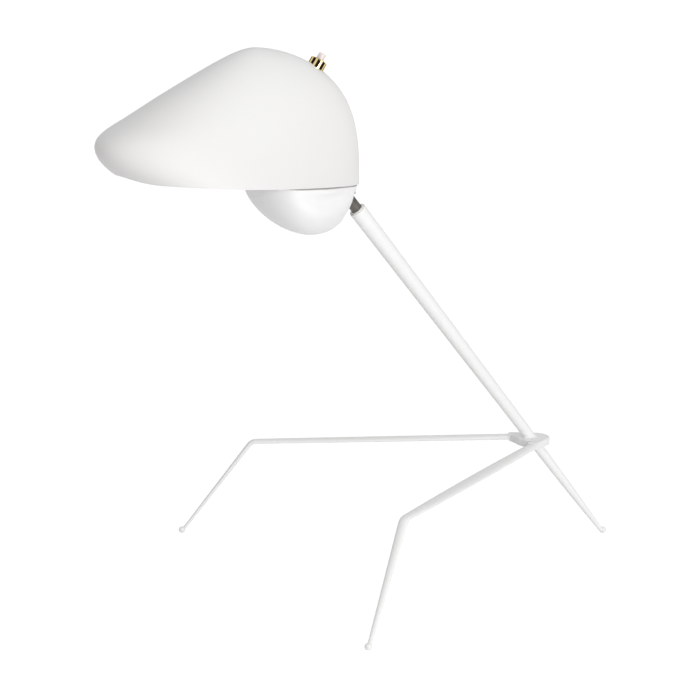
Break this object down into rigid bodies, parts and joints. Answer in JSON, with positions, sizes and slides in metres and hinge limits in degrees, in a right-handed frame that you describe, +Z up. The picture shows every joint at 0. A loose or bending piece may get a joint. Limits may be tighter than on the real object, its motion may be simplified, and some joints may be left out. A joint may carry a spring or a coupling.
{
  "type": "tripod desk lamp",
  "caption": "Desk lamp with a hooded bonnet shade on a slanting arm, a ball joint under the shade, a push switch on its crown and thin splayed legs.",
  "frame": {"origin": "centre of the rear foot's flat sole, on the table", "axes": "+Z up; the arm leans towards -X and the shade points towards -X; the lamp is symmetric about the XZ plane"},
  "size_m": [0.3789, 0.2846, 0.3517],
  "materials": {
    "white_paint": "satin white enamel on steel",
    "shade_paint": "satin white enamel on thin spun sheet",
    "foot_rubber": "white nylon feet",
    "grey_steel": "bright drawn steel, slightly greyed",
    "zinc_steel": "zinc-plated pressed steel",
    "bearing_plastic": "unfilled acetal",
    "brass": "turned brass",
    "black_plastic": "black moulded phenolic",
    "ceramic": "unglazed steatite",
    "nickel_cap": "nickel-plated screw cap",
    "black_glass": "black vitrite",
    "opal_glass": "frosted opal glass",
    "button_plastic": "pale pinkish white moulded plastic",
    "lead_insulation": "black flexible insulation"
  },
  "bodies": {
    "stand": {"hub_plate": "white_paint", "outlet_tube": "grey_steel", "rear_leg": "white_paint", "rear_foot": "foot_rubber", "front_leg_near": "white_paint", "front_leg_far": "white_paint", "front_foot_near": "foot_rubber", "front_foot_far": "foot_rubber", "arm_tube": "white_paint", "arm_plug": "grey_steel", "swivel_washer": "bearing_plastic"},
    "stem": {"ball_stem": "grey_steel", "stem_nut": "grey_steel"},
    "race": {"ball_race": "bearing_plastic"},
    "head": {"socket_lower": "zinc_steel", "socket_upper": "zinc_steel", "clamp_screws": "zinc_steel", "shade": "shade_paint", "lower_jaw": "shade_paint", "spine_strap": "zinc_steel", "holder_shell": "black_plastic", "holder_nipple": "brass", "holder_nut": "brass", "holder_core": "ceramic", "holder_sleeve": "brass", "holder_contact": "brass", "bulb_tip": "brass", "bulb_insulator": "black_glass", "bulb_cap": "nickel_cap", "bulb_glass": "opal_glass", "switch_case": "black_plastic", "switch_saddle": "black_plastic", "switch_terminals": "brass", "bezel_nut": "brass", "switch_leads": "lead_insulation"},
    "button": {"push_button": "button_plastic"}
  },
  "joints": [
    {"name": "arm_swivel", "type": "hinge", "parent": "stand", "child": "stem", "pos_m": [-0.19824, 0, 0.2448], "axis": [-0.6293, 0, 0.7771], "range_deg": [-170, 170]},
    {"name": "shade_nod", "type": "hinge", "parent": "stem", "child": "race", "pos_m": [-0.22215, 0, 0.27433], "axis": [0, 1, 0], "range_deg": [-12, 1.5]},
    {"name": "shade_roll", "type": "hinge", "parent": "race", "child": "head", "pos_m": [-0.22215, 0, 0.27433], "axis": [0.7771, 0, 0.6293], "range_deg": [-6, 6]},
    {"name": "button_press", "type": "slide", "parent": "head", "child": "button", "axis": [-0.5519, 0, -0.8339], "range_m": [0, 0.002], "stiffness_N_per_m": 800, "springref_m": -0.001}
  ]
}
